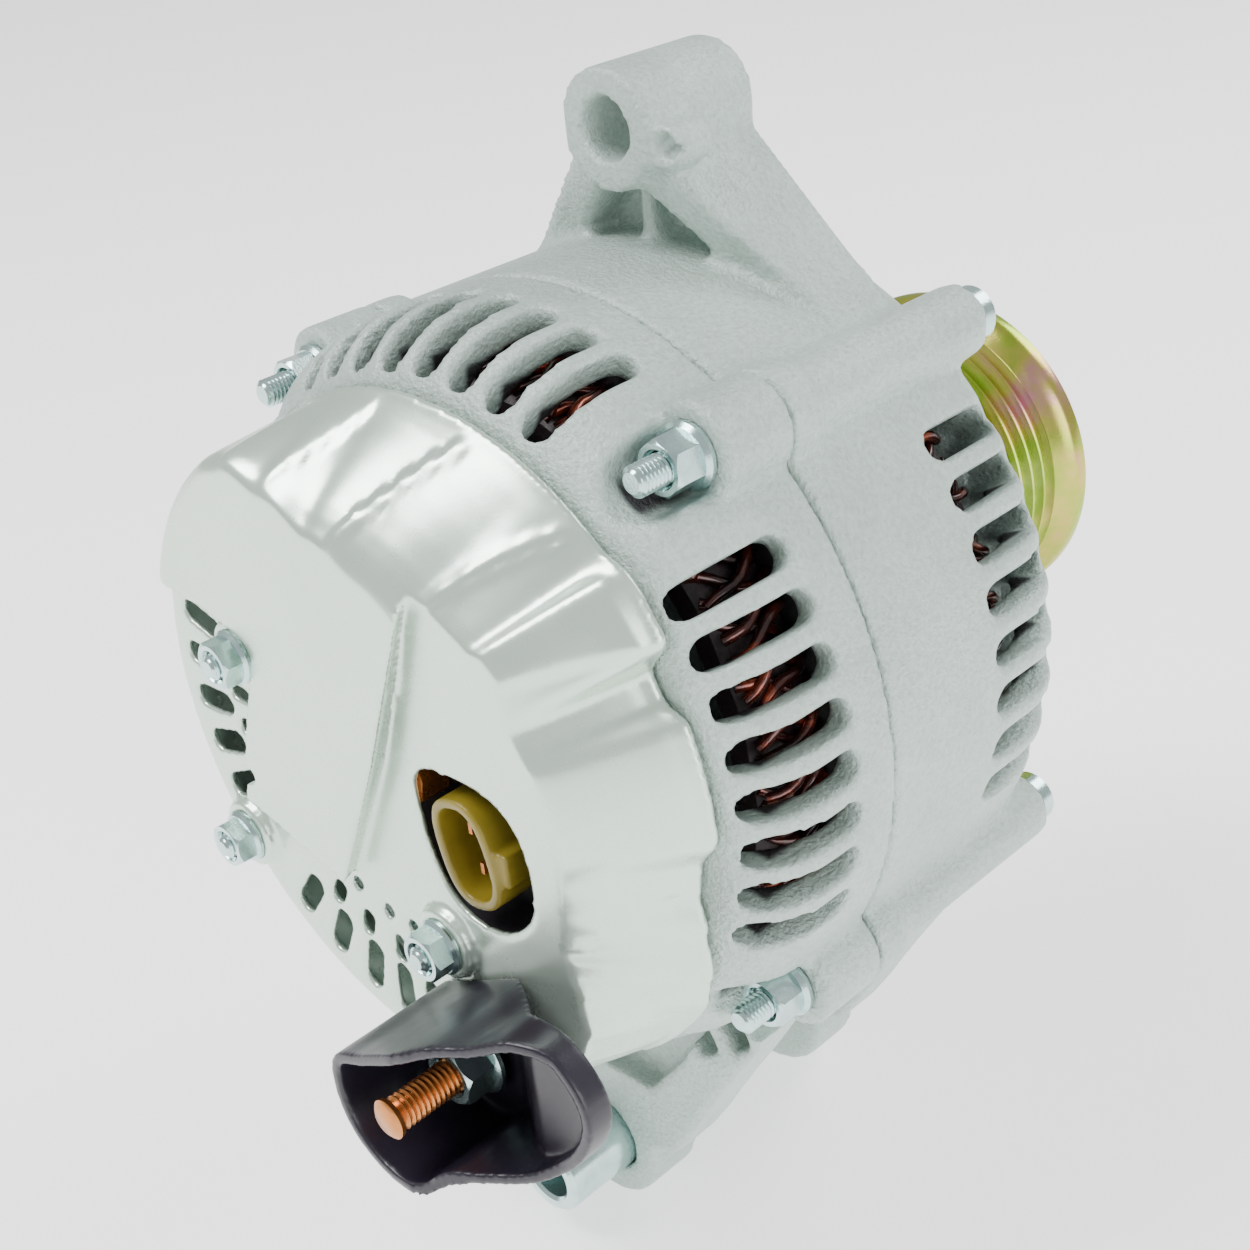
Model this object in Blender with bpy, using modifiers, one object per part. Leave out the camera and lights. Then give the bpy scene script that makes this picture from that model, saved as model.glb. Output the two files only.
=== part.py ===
"""Car alternator with internal fans, modelled as separate pieces.

Working axes, in millimetres: the rotor turns about Y, the pulley is at +Y, the
rear cover at -Y, and the pivot ear stands straight up, at +Z. Lengths along Y
are counted from the joint between the two housings. The last lines move
everything so that the origin is on the rotor axis at the middle of the belt.
"""
from math import cos, hypot, pi, radians, sin

import bmesh
import bpy
from mathutils import Matrix

MM = 0.001

# Driving sizes, mm
HOUSING_R = 66.0            # outside of both housings
REAR_FACE = -30.2           # rear housing end face
FRONT_FACE = 51.0           # drive-end housing end face
STATOR_R = 61.5
STATOR_BORE = 51.0
STATOR_Y = (-6.0, 24.0)
POLE_R = 50.5
POLE_Y = (-13.5, 31.5)
BOLT_CIRCLE = 66.0
BOLT_ANGLES = (136.0, 50.6, -35.6, -132.4)
BOLT_R = 2.5
EAR_Z = 85.8
EAR_R = 10.0
EAR_Y = (15.0, 40.0)
EAR_BORE = 5.1
LUG = (3.1, -98.7)          # lower mounting axis, x and z
LUG_R = 13.6
BUSH_R = 8.0
COVER_RIM = -30.5
COVER_FACE = -51.7
COVER_STEP = -49.9
COVER_WALL = 1.8
COVER_CLOCK = 5.6           # turn of the cover's drawing about the rotor axis
STUD = (21.0, -44.5)        # output stud, x and z
GROOVE_Y0 = 76.0
GROOVE_PITCH = 3.56
GROOVES = 6
BELT_Y = GROOVE_Y0 + GROOVE_PITCH * GROOVES / 2
GAP = 0.3
SEG = 30

for old in list(bpy.data.objects):
    bpy.data.objects.remove(old, do_unlink=True)

parts = bpy.data.collections.new("car_alternator")
cutters = bpy.data.collections.new("cutters")
bpy.context.scene.collection.children.link(parts)
bpy.context.scene.collection.children.link(cutters)
cutters.hide_render = True

MATERIALS = {
    "cast": ((0.62, 0.66, 0.64), 0.75, 0.55),
    "cover": ((0.78, 0.81, 0.79), 0.85, 0.28),
    "zinc": ((0.62, 0.72, 0.72), 1.0, 0.25),
    "yellow_zinc": ((0.55, 0.55, 0.16), 1.0, 0.28),
    "steel": ((0.45, 0.46, 0.48), 1.0, 0.35),
    "laminations": ((0.20, 0.20, 0.21), 0.8, 0.5),
    "enamel": ((0.22, 0.05, 0.025), 0.4, 0.3),
    "copper": ((0.72, 0.33, 0.16), 1.0, 0.25),
    "black_plastic": ((0.022, 0.018, 0.026), 0.0, 0.4),
    "olive_plastic": ((0.36, 0.27, 0.07), 0.0, 0.45),
    "carbon": ((0.05, 0.05, 0.05), 0.1, 0.6),
}


def material_for(name, kind):
    rgb, metal, rough = MATERIALS[kind]
    made = bpy.data.materials.new(name + "_finish")
    made.use_nodes = True
    shader = made.node_tree.nodes["Principled BSDF"]
    shader.inputs["Base Color"].default_value = (*rgb, 1)
    shader.inputs["Metallic"].default_value = metal
    shader.inputs["Roughness"].default_value = rough
    made.diffuse_color = (*rgb, 1)
    return made


def link(name, mesh, kind):
    """A piece when kind names its finish, otherwise a cutter."""
    made = bpy.data.objects.new(name, mesh)
    if kind is None:
        cutters.objects.link(made)
        made.hide_render = True
        made.display_type = "WIRE"
    else:
        parts.objects.link(made)
        mesh.materials.append(material_for(name, kind))
    return made


def add(name, shapes, kind=None):
    """One mesh from a shape or a list of shapes, each a function that adds to a bmesh."""
    build = bmesh.new()
    for shape in shapes if isinstance(shapes, list) else [shapes]:
        shape(build)
    bmesh.ops.scale(build, vec=(MM, MM, MM), verts=build.verts)
    bmesh.ops.recalc_face_normals(build, faces=build.faces)
    mesh = bpy.data.meshes.new(name)
    build.to_mesh(mesh)
    build.free()
    return link(name, mesh, kind)


def lathe(name, profile, kind=None, seg=SEG):
    """A closed (r, y) outline turned about Y with a Screw modifier."""
    mesh = bpy.data.meshes.new(name)
    n = len(profile)
    area = sum(
        profile[i][0] * profile[(i + 1) % n][1] - profile[(i + 1) % n][0] * profile[i][1]
        for i in range(n)
    )
    if area > 0:
        profile = profile[::-1]
    edges = [
        (i, (i + 1) % n) for i in range(n)
        if profile[i][0] or profile[(i + 1) % n][0]
    ]
    mesh.from_pydata([(r * MM, y * MM, 0) for r, y in profile], edges, [])
    made = link(name, mesh, kind)
    turn = made.modifiers.new("turn", "SCREW")
    turn.axis = "Y"
    turn.steps = turn.render_steps = seg
    turn.use_merge_vertices = True
    turn.merge_threshold = 0.00001
    turn.use_normal_calculate = False
    turn.use_normal_flip = False
    turn.use_smooth_shade = True
    return made


def prism(outline, y0, y1):
    """An (x, z) outline extruded from y0 to y1."""
    def shape(build):
        face = build.faces.new([build.verts.new((x, y0, z)) for x, z in outline])
        grown = bmesh.ops.extrude_face_region(build, geom=[face])
        ends = [v for v in grown["geom"] if isinstance(v, bmesh.types.BMVert)]
        bmesh.ops.translate(build, vec=(0, y1 - y0, 0), verts=ends)
    return shape


def cylinder(x, z, r, y0, y1, seg=16):
    place = Matrix.Translation((x, (y0 + y1) / 2, z)) @ Matrix.Rotation(pi / 2, 4, "X")

    def shape(build):
        bmesh.ops.create_cone(
            build, cap_ends=True, segments=seg, radius1=r, radius2=r, depth=y1 - y0, matrix=place
        )
    return shape


def block(x0, x1, y0, y1, z0, z1):
    place = Matrix.Translation(((x0 + x1) / 2, (y0 + y1) / 2, (z0 + z1) / 2))
    place = place @ Matrix.Diagonal((x1 - x0, y1 - y0, z1 - z0, 1))
    return lambda build: bmesh.ops.create_cube(build, size=1, matrix=place)


def ball(x, y, z, r, seg=6):
    place = Matrix.Translation((x, y, z))

    def shape(build):
        bmesh.ops.create_uvsphere(build, u_segments=seg, v_segments=4, radius=r, matrix=place)
    return shape


def loft(loops):
    """Closed rows of points, joined row to row and capped at both ends."""
    def shape(build):
        rows = [[build.verts.new(p) for p in loop] for loop in loops]
        count = len(rows[0])
        for low, high in zip(rows, rows[1:]):
            for k in range(count):
                j = (k + 1) % count
                build.faces.new((low[k], low[j], high[j]))
                build.faces.new((low[k], high[j], high[k]))
        bmesh.ops.triangulate(build, faces=[build.faces.new(rows[0]), build.faces.new(rows[-1])])
    return shape


def polar(angle, r):
    a = radians(angle)
    return r * cos(a), r * sin(a)


def clocked(x, z):
    a = radians(COVER_CLOCK)
    return x * cos(a) - z * sin(a), x * sin(a) + z * cos(a)


def sector_box(angle, r0, r1, width, y0, y1):
    """A bar along Y that reaches from r0 to r1 at an angle."""
    place = Matrix.Rotation(-radians(angle), 4, "Y")
    place = place @ Matrix.Translation(((r0 + r1) / 2, (y0 + y1) / 2, 0))
    place = place @ Matrix.Diagonal((r1 - r0, y1 - y0, width, 1))
    return lambda build: bmesh.ops.create_cube(build, size=1, matrix=place)


CROWDED = ("drive_end_housing", "rear_housing", "rear_cover", "claw_pole")


def boolean(target, other, operation="DIFFERENCE"):
    """EXACT, but for the pieces in CROWDED: their many slots and lobes meet
    on shared planes, where EXACT leaves open edges, so they use MANIFOLD."""
    step = target.modifiers.new(operation.lower(), "BOOLEAN")
    step.operation = operation
    step.solver = "MANIFOLD" if target.name.startswith(CROWDED) else "EXACT"
    step.object = other
    return step


def cut(target, name, *shapes):
    boolean(target, add(name, list(shapes)))


def join(target, name, *shapes):
    for n, shape in enumerate(shapes):
        boolean(target, add(f"{name}_{n}", shape), "UNION")


def rod(name, kind, x, z, r, y0, y1, seg=16):
    return add(name, cylinder(x, z, r, y0, y1, seg), kind)


def ring(name, kind, r0, r1, y0, y1, seg=32):
    return lathe(name, [(r0, y0), (r1, y0), (r1, y1), (r0, y1)], kind, seg)


# ---------------------------------------------------------------- housings
BOLTS = [polar(a, BOLT_CIRCLE) for a in BOLT_ANGLES]
SIDE_SLOTS = [34.8 - 7.6 * k for k in range(8)]
TOP_SLOTS = [66.7 + 7.6 * k for k in range(8)]
LEFT_SLOTS = [163.0 + 7.6 * k for k in range(6)]
LOW_SLOTS = [-54.0, -61.6, -110.0, -117.6]


def lug_outline(x_side):
    """The lower lug: a round end on the mounting axis, wide at the housing."""
    x, z = LUG
    round_end = [(x + LUG_R * cos(radians(a)), z + LUG_R * sin(radians(a))) for a in range(-170, 11, 15)]
    return round_end + [(27.4, -86.0), (36.0, -71.8), (47.0, -54.0), (30.0, -48.0), x_side]


REAR_OUT = [
    (0, REAR_FACE), (55.0, REAR_FACE), (60.6, -26.8), (64.6, -21.4),
    (HOUSING_R, -14.0), (HOUSING_R, -0.15), (0, -0.15),
]
rear = lathe("rear_housing", REAR_OUT, "cast")
join(
    rear, "rear_boss",
    [cylinder(x, z, 8.0, -14.0, -0.15, 16) for x, z in BOLTS],
    prism(lug_outline((-32.0, -50.0)), -15.0, -3.0),
)
cavity = lathe(
    "rear_cavity",
    [(0, -26.4), (52.0, -26.4), (57.4, -22.0), (61.0, -14.0), (61.0, -6.6),
     (STATOR_R + 0.4, -6.6), (STATOR_R + 0.4, 5.0), (0, 5.0)],
)
cut(cavity, "nut_walls", *[cylinder(x, z, 8.1, -45.0, -11.0, 14) for x, z in BOLTS])
cut(cavity, "rear_hub", cylinder(0, 0, 22.0, -45.0, -19.5, 32))
boolean(rear, cavity)
slots = [sector_box(a, 51.0, 72.0, 5.0, -28.2, -8.1) for a in SIDE_SLOTS + TOP_SLOTS + LEFT_SLOTS + LOW_SLOTS]
cut(rear, "rear_slots", *slots)
cut(rear, "rear_nut_pockets", *[cylinder(x, z, 6.3, -45.0, -14.0, 16) for x, z in BOLTS])
cut(
    rear, "rear_bores",
    *[cylinder(x, z, BOLT_R + 0.4, -20.0, 5.0, 12) for x, z in BOLTS],
    cylinder(0, 0, 17.8, -45.0, 0.0, 32),
    cylinder(*LUG, BUSH_R + GAP, -40.0, 0.0, 24),
    *[sector_box(30 + 60 * k, 26.0, 47.0, 13.0, -45.0, -20.0) for k in range(6)],
)

FRONT_OUT = [
    (0, 0.15), (HOUSING_R, 0.15), (HOUSING_R, 36.0), (64.6, 42.0),
    (61.2, 47.4), (55.5, FRONT_FACE), (30.0, FRONT_FACE), (30.0, 54.0), (0, 54.0),
]
front = lathe("drive_end_housing", FRONT_OUT, "cast")
WEB = [(-35.5, 54.0), (-9.6, 82.0), (9.6, 82.0), (35.5, 54.0)]
join(
    front, "front_boss",
    [cylinder(x, z, 8.0, 0.15, 50.0, 16) for x, z in BOLTS],
    cylinder(0, EAR_Z, EAR_R, *EAR_Y, 28),
    prism(WEB, 28.5, 34.0),
)
ARM = [(9.6, 81.5), (36.5, 55.0), (27.0, 53.0), (3.0, 78.0)]
for side in (1, -1):
    rear_side = [(side * x, y, z) for (x, z), y in zip(ARM, (16.5, 28.0, 28.0, 16.5))]
    front_side = [(side * x, y, z) for (x, z), y in zip(ARM, (40.0, 41.0, 41.0, 40.0))]
    join(front, f"gusset_{side + 1}", loft([rear_side, front_side]))
join(front, "front_lug", prism(lug_outline((-32.0, -50.0)), 33.0, 45.0))
front_cavity = lathe(
    "front_cavity",
    [(0, -5.0), (STATOR_R + 0.4, -5.0), (STATOR_R + 0.4, 24.6), (61.0, 24.6), (61.0, 34.0),
     (58.0, 41.6), (51.5, 46.6), (0, 46.6)],
)
cut(front_cavity, "front_hub", cylinder(0, 0, 30.0, 36.9, 60.0, 40))
boolean(front, front_cavity)
FRONT_SIDE = [36.6 - 7.8 * k for k in range(8)]
FRONT_LEFT = [162.5 + 7.8 * k for k in range(6)]
cut(
    front, "front_slots",
    *[sector_box(a, 41.0, 72.0, 5.0, 26.9, 49.6) for a in FRONT_SIDE + FRONT_LEFT],
)
cut(
    front, "front_bores",
    *[cylinder(x, z, BOLT_R + 0.4, -5.0, 55.0, 12) for x, z in BOLTS],
    cylinder(0, EAR_Z, EAR_BORE, 0.0, 50.0, 24),
    cylinder(*LUG, EAR_BORE, 20.0, 60.0, 24),
    cylinder(0, 0, 23.8, 20.0, 51.3, 40),
)
cut(front, "front_shaft_hole", cylinder(0, 0, 14.5, 45.0, 60.0, 32))
cut(
    front, "front_air_holes",
    *[sector_box(30 + 60 * k, 33.0, 38.5, 15.0, 40.0, 60.0) for k in range(6)],
)
cut(front, "retainer_holes", *[cylinder(*polar(90 + 120 * k, 26.9), 1.9, 30.0, 46.0, 6) for k in range(3)])

# ------------------------------------------------------------------ stator
core = lathe(
    "stator_core",
    [(STATOR_BORE, STATOR_Y[0]), (STATOR_R, STATOR_Y[0]), (STATOR_R, STATOR_Y[1]), (STATOR_BORE, STATOR_Y[1])],
    "laminations", 24,
)
cut(core, "core_slots", *[sector_box(30 * k, 49.0, 57.0, 5.2, -12.0, 30.0) for k in range(12)])
WIND_R0, WIND_R1 = 52.0, 57.2


def winding_profile(y0, y1):
    c = 1.3
    return [
        (WIND_R0, y0), (WIND_R1 - c, y0), (WIND_R1, y0 + c), (WIND_R1, y1 - c),
        (WIND_R1 - c, y1), (WIND_R0, y1),
    ]


winding = lathe("stator_winding", winding_profile(-20.5, STATOR_Y[0] - GAP), "enamel", 24)
boolean(winding, lathe("front_end_turns", winding_profile(STATOR_Y[1] + GAP, 39.0), seg=24), "UNION")
join(
    winding, "winding",
    [sector_box(30 * k, 53.4, 56.4, 4.4, -8.0, 26.0) for k in range(12)],
)

# ------------------------------------------------------------------- rotor
ROTOR_HUB = 19.7
lathe(
    "rotor_shaft",
    [(0, -47.4), (6.0, -47.4), (6.0, -33.2), (7.5, -33.2), (7.5, -19.8), (8.5, -19.8),
     (8.5, 100.0), (7.4, 100.0), (7.4, 109.5), (6.6, 110.3), (0, 110.3)],
    "steel", 20,
)


def claw_pole(name, y_root, y_tip, y_mid, shift):
    """A disc with six fingers that narrow and thin towards their tips."""
    way = 1 if y_tip > y_root else -1
    inner = y_root + way * 11.6
    low, high = sorted((y_root, inner))
    body = lathe(name, [(8.8, low), (30.0, low), (30.0, high), (8.8, high)], "steel", 20)
    low, high = sorted((inner - way, y_mid))
    hub = lathe(name + "_hub", [(8.8, low), (ROTOR_HUB, low), (ROTOR_HUB, high), (8.8, high)], seg=20)
    boolean(body, hub, "UNION")

    def section(y, centre, r_in, half):
        low_side = [polar(centre + s * half, r_in) for s in (-1, 1)]
        high_side = [polar(centre + s * half, POLE_R) for s in (1, 0, -1)]
        return [(x, y, z) for x, z in low_side + high_side]

    arms, fingers = [], []
    for k in range(6):
        centre = shift + 60 * k
        arms.append(loft([section(y_root, centre, 26.0, 12.5), section(inner, centre, 26.0, 12.2)]))
        fingers.append(loft([section(inner - way, centre, 39.6, 12.0), section(y_tip, centre, 46.6, 6.0)]))
    join(body, name + "_arms", arms, fingers)
    return body


claw_pole("claw_pole_rear", POLE_Y[0], 29.6, 8.85, 0)
claw_pole("claw_pole_front", POLE_Y[1], -11.6, 9.15, 30)
ring("field_coil", "enamel", ROTOR_HUB + GAP, 38.0, -1.5, 19.5, 24)


def fan(name, y_plate, y_back, y_tips, blades):
    """A flat ring with upright blades swept back from root to tip."""
    body = ring(name, "steel", 12.0, 48.0, min(y_plate, y_back), max(y_plate, y_back), 24)
    root = y_back + (0.5 if y_tips < y_plate else -0.5)
    shapes = []
    for k in range(blades):
        rows = [(33.0, 0.0), (46.5, 9.0)]
        outline = [polar(360 * k / blades + a, r) for r, a in rows]
        outline += [polar(360 * k / blades + a + 2.2, r) for r, a in rows[::-1]]
        shapes.append(prism(outline, min(root, y_tips), max(root, y_tips)))
    join(body, name + "_blades", shapes)
    return body


fan("rear_fan", -13.8, -15.2, -23.5, 8)
fan("front_fan", 31.8, 33.2, 41.0, 8)

ring("slip_ring_hub", "black_plastic", 6.3, 7.8, -47.2, -33.6, 16)
ring("slip_ring_outer", "copper", 8.1, 9.5, -46.8, -41.2, 16)
ring("slip_ring_inner", "copper", 8.1, 9.5, -39.9, -34.3, 16)


# ---------------------------------------------------------------- bearings
def bearing(end, y0, y1, bore, outer, ball_r, balls):
    mid, pitch = (y0 + y1) / 2, (bore + outer) / 2
    race_in, race_out = pitch - ball_r * 0.55, pitch + ball_r * 0.55

    def groove(side):
        """A track for the balls with sloping flanks, clear of them by 0.3 mm."""
        edge, deep = pitch + side * ball_r * 0.55, pitch + side * (ball_r + 0.35)
        return [
            (edge, mid - 0.95 * ball_r), (deep, mid - 0.6 * ball_r),
            (deep, mid + 0.6 * ball_r), (edge, mid + 0.95 * ball_r),
        ]

    lathe(
        f"{end}_bearing_inner_race",
        [(bore, y0), (race_in, y0), *groove(-1), (race_in, y1), (bore, y1)], "steel", 18,
    )
    lathe(
        f"{end}_bearing_outer_race",
        [(race_out, y0), (outer, y0), (outer, y1), (race_out, y1), *groove(1)[::-1]], "steel", 20,
    )
    cage = ring(f"{end}_ball_cage", "copper", pitch - ball_r * 0.3, pitch + ball_r * 0.3, mid - 1.0, mid + 1.0, 16)
    spheres = []
    for k in range(balls):
        x, z = polar(360 * k / balls, pitch)
        spheres.append(ball(x, mid, z, ball_r))
    join(cage, f"{end}_balls", spheres)
    return pitch, ball_r


bearing("front", 37.3, 51.0, 8.8, 23.5, 4.2, 7)
bearing("rear", -31.5, -20.5, 7.8, 17.5, 2.8, 8)

retainer = ring("bearing_retainer", "steel", 20.0, 29.5, 35.1, 36.6, 18)
cut(retainer, "retainer_screw_holes", *[cylinder(*polar(90 + 120 * k, 26.9), 1.9, 30.0, 40.0, 6) for k in range(3)])
for k in range(3):
    x, z = polar(90 + 120 * k, 26.9)
    screw = rod(f"retainer_screw_{k + 1}", "steel", x, z, 2.7, 33.7, 34.8, 12)
    join(screw, f"retainer_shank_{k}", cylinder(x, z, 1.6, 34.3, 45.0, 10))

# --------------------------------------------------------- pulley and front
grooves = []
for k in range(GROOVES):
    y = GROOVE_Y0 + GROOVE_PITCH * k
    grooves += [(29.2, y), (26.4, y + GROOVE_PITCH / 2)]
grooves.append((29.2, GROOVE_Y0 + GROOVE_PITCH * GROOVES))
lathe(
    "pulley",
    [(8.8, 64.6), (15.0, 64.6), (15.0, 72.0), (24.0, 72.0), (24.0, 69.0), (31.6, 69.0), (32.2, 70.5),
     (31.8, 72.5), *grooves, (31.8, 99.6), (32.4, 101.0), (32.2, 103.4), (31.2, 104.2), (27.6, 104.2),
     (24.4, 98.0), (24.0, 88.0), (15.0, 86.0), (14.6, 97.6), (8.8, 97.6)],
    "yellow_zinc", 24,
)
ring("pulley_spacer", "zinc", 8.8, 12.5, 51.3, 64.3, 28)
nut = rod("pulley_nut", "zinc", 0, 0, 13.2, 98.0, 107.0, 6)
cut(nut, "pulley_nut_bore", cylinder(0, 0, 8.8, 90.0, 115.0, 24))

# --------------------------------------------------------------- tie bolts
for k, (x, z) in enumerate(BOLTS):
    bolt = rod(f"tie_bolt_{k + 1}", "zinc", x, z, BOLT_R, -26.2, 51.0, 12)
    join(bolt, f"tie_head_{k}", cylinder(x, z, 4.7, 50.3, 54.4, 6))
    tie_nut = rod(f"tie_nut_{k + 1}", "zinc", x, z, 5.3, -15.6, -14.3, 12)
    join(tie_nut, f"tie_hex_{k}", cylinder(x, z, 4.6, -20.8, -15.0, 6))
    cut(tie_nut, f"tie_nut_bore_{k}", cylinder(x, z, BOLT_R + GAP, -30.0, 0.0, 12))

bushing = rod("mounting_bushing", "zinc", *LUG, BUSH_R, -30.0, -3.4, 28)
cut(bushing, "bushing_bore", cylinder(*LUG, EAR_BORE, -40.0, 5.0, 24))

# -------------------------------------------------------------- rear cover
# Angles here are in the cover's own drawing, which COVER_CLOCK turns.
FACE_EDGE = [
    (-180, 55.7), (-60, 55.7), (-50, 55.0), (-43, 52.6), (-37, 48.0), (-32, 43.5), (-28, 40.6), (-18, 40.4),
    (-5, 40.2), (10, 39.6), (24, 38.6), (34, 41.4), (40, 41.2), (50, 40.0), (56, 38.3), (72, 39.8),
    (88, 43.3), (100, 49.0), (110, 54.4), (118, 55.7), (180, 55.7),
]
RIM_EDGE = [
    (-180, 57.0), (-66, 57.0), (-58, 61.0), (-38, 61.0), (-32, 59.5), (-24, 56.0), (-18, 53.5), (-12, 53.5),
    (-5, 57.0), (13, 56.5), (18, 53.0), (22, 53.0), (26, 59.4), (35, 59.6), (42, 57.5), (80, 57.0), (180, 57.0),
]


def read(table, angle):
    for (a0, r0), (a1, r1) in zip(table, table[1:]):
        if a0 <= angle <= a1:
            return r0 + (r1 - r0) * (angle - a0) / (a1 - a0)
    return table[-1][1]


def cover_loft(offset, y_face, y_rim, count=45):
    """Rings from the rim to the face. The wall bulges, so it is steepest near
    the rim, and its edge onto the face is rounded."""
    verts = []
    depth = y_rim - y_face
    levels = [(0.0, 1.0, 0), (0.16, 0.985, 0), (0.5, 0.80, 0), (0.78, 0.42, 0), (0.93, 0.10, 0.2), (1.0, 0.0, 1.6)]
    if offset:
        levels = levels[::2] + levels[-1:]
    for along, share, inset in levels:
        for k in range(count):
            angle = -180 + 360 * k / count
            face, rim = read(FACE_EDGE, angle), read(RIM_EDGE, angle)
            r = face + (rim - face) * share - inset - offset
            x, z = clocked(*polar(angle, r))
            verts.append((x, y_rim - depth * along, z))
    return loft([verts[i:i + count] for i in range(0, len(verts), count)])


cover = add("rear_cover", cover_loft(0.0, COVER_FACE, COVER_RIM), "cover")
STEP = [(24.5, 38.5), (4.0, 2.4), (-13.2, -24.4), (-39.3, -15.4), (-34.1, -2.1), (-24.0, 17.0), (-34.0, 21.5), (-70.0, 30.0),
        (-70.0, -75.0), (75.0, -75.0), (75.0, 60.0), (38.0, 60.0)]
cut(cover, "cover_step", prism([clocked(x, z) for x, z in STEP], -60.0, COVER_STEP))
boolean(cover, add("cover_cavity", cover_loft(COVER_WALL, -48.1, -29.0)))
WINDOW = [(11.5, 2.4), (8.8, -0.6), (8.8, -12.0), (11.8, -20.0), (18.0, -23.6), (25.4, -22.8), (31.2, -18.4),
          (33.8, -12.0), (33.6, -4.6), (30.8, 0.2), (26.0, 2.6), (18.0, 3.4)]
COVER_NUTS = [clocked(-32.0, 13.6), clocked(-45.0, -25.0), clocked(9.0, -29.5)]


def oval(angle, r0, r1, width, y0, y1):
    a = radians(angle + COVER_CLOCK)
    u, v, h = (cos(a), sin(a)), (-sin(a), cos(a)), width / 2
    points = []
    for r, t0 in ((r1, -90), (r0, 90)):
        for t in range(t0, t0 + 181, 90):
            d, s = h * cos(radians(t)), h * sin(radians(t))
            points.append((u[0] * (r + d) + v[0] * s, u[1] * (r + d) + v[1] * s))
    return prism(points, y0, y1)


vents = [oval(a, 43.4, 49.6, 3.0, -60.0, -40.0) for a in (-201, -191, -181, -171, -161, -132, -122, -112, -102, -92)]
vents += [oval(a, 36.5, 39.5, 2.6, -60.0, -40.0) for a in (-183, -172, -124, -110, -96)]
cut(
    cover, "cover_openings",
    prism([clocked(x, z) for x, z in WINDOW], -60.0, -40.0),
    *[cylinder(x, z, 3.0, -60.0, -40.0) for x, z in COVER_NUTS],
    cylinder(*STUD, 5.6, -60.0, -40.0, 20),
    *vents,
)
for k, (x, z) in enumerate(COVER_NUTS):
    rod(f"cover_stud_{k + 1}", "zinc", x, z, 2.3, -55.6, REAR_FACE - GAP, 12)
    cover_nut = rod(f"cover_nut_{k + 1}", "zinc", x, z, 5.0, COVER_STEP - 1.5, COVER_STEP - GAP, 12)
    join(cover_nut, f"cover_hex_{k}", cylinder(x, z, 4.5, COVER_STEP - 4.8, COVER_STEP - 1.0, 6))
    cut(cover_nut, f"cover_nut_bore_{k}", cylinder(x, z, 2.6, -60.0, -45.0, 12))

# ------------------------------------------------- under the cover, and output
SINK_Y = (-38.4, -35.4)
sink_arc = [polar(a, 53.0) for a in range(-134, -23, 15)] + [polar(a, 25.0) for a in range(-24, -135, -22)]
sink = add("rectifier_heat_sink", prism(sink_arc, *SINK_Y), "cast")
DIODES = [polar(a, 38.0) for a in (-122, -101, -80, -40)]
cut(
    sink, "sink_holes",
    *[cylinder(x, z, 5.8, -45.0, -30.0, 12) for x, z in DIODES],
    cylinder(*COVER_NUTS[2], 2.8, -45.0, -30.0, 10),
    cylinder(*STUD, 3.5, -45.0, -30.0, 12),
)
for k, (x, z) in enumerate(DIODES):
    diode = rod(f"diode_{k + 1}", "zinc", x, z, 5.2, -40.4, -33.4, 12)
    join(diode, f"diode_lead_{k}", cylinder(x, z, 0.8, -45.0, -40.0, 8))

add("regulator", block(9.8, 27.0, -44.5, -33.4, 7.0, 25.0), "black_plastic")
BRUSH_Y = (-44.0, -37.1)
holder = add("brush_holder", block(-6.6, 6.6, -47.7, -33.4, 12.0, 36.0), "black_plastic")
cut(holder, "brush_channels", *[block(-3.4, 3.4, y - 2.5, y + 2.5, 0.0, 34.0) for y in BRUSH_Y])


def coil(name, y, z0, z1, turns, r, wire):
    """A round-wire spring along Z."""
    curve = bpy.data.curves.new(name, "CURVE")
    curve.dimensions = "3D"
    curve.bevel_depth = wire * MM
    curve.bevel_resolution = 0
    curve.use_fill_caps = True
    count = turns * 7 + 1
    line = curve.splines.new("POLY")
    line.points.add(count - 1)
    for i in range(count):
        a = 2 * pi * i / 7
        z = z0 + wire + (z1 - z0 - 2 * wire) * i / (count - 1)
        line.points[i].co = (r * cos(a) * MM, (y + r * sin(a)) * MM, z * MM, 1)
    made = bpy.data.objects.new(name, curve)
    parts.objects.link(made)
    curve.materials.append(material_for(name, "steel"))
    return made


for k, y in enumerate(BRUSH_Y):
    add(f"brush_{k + 1}", block(-3.0, 3.0, y - 2.1, y + 2.1, 9.8, 20.0), "carbon")
    coil(f"brush_spring_{k + 1}", y, 20.4, 33.6, 4, 1.5, 0.35)

# The connector is an oval cup that opens to the rear, inside the window.
CONNECTOR = (20.4, -8.0)
CONNECTOR_TILT = -14


def oval_outline(x, z, half_x, half_z, tilt, seg=24, power=0.75):
    points = []
    t = radians(tilt)
    for k in range(seg):
        a = 2 * pi * k / seg
        u = half_x * abs(cos(a)) ** power * (1 if cos(a) > 0 else -1)
        v = half_z * abs(sin(a)) ** power * (1 if sin(a) > 0 else -1)
        points.append((x + u * cos(t) + v * sin(t), z - u * sin(t) + v * cos(t)))
    return points


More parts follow.
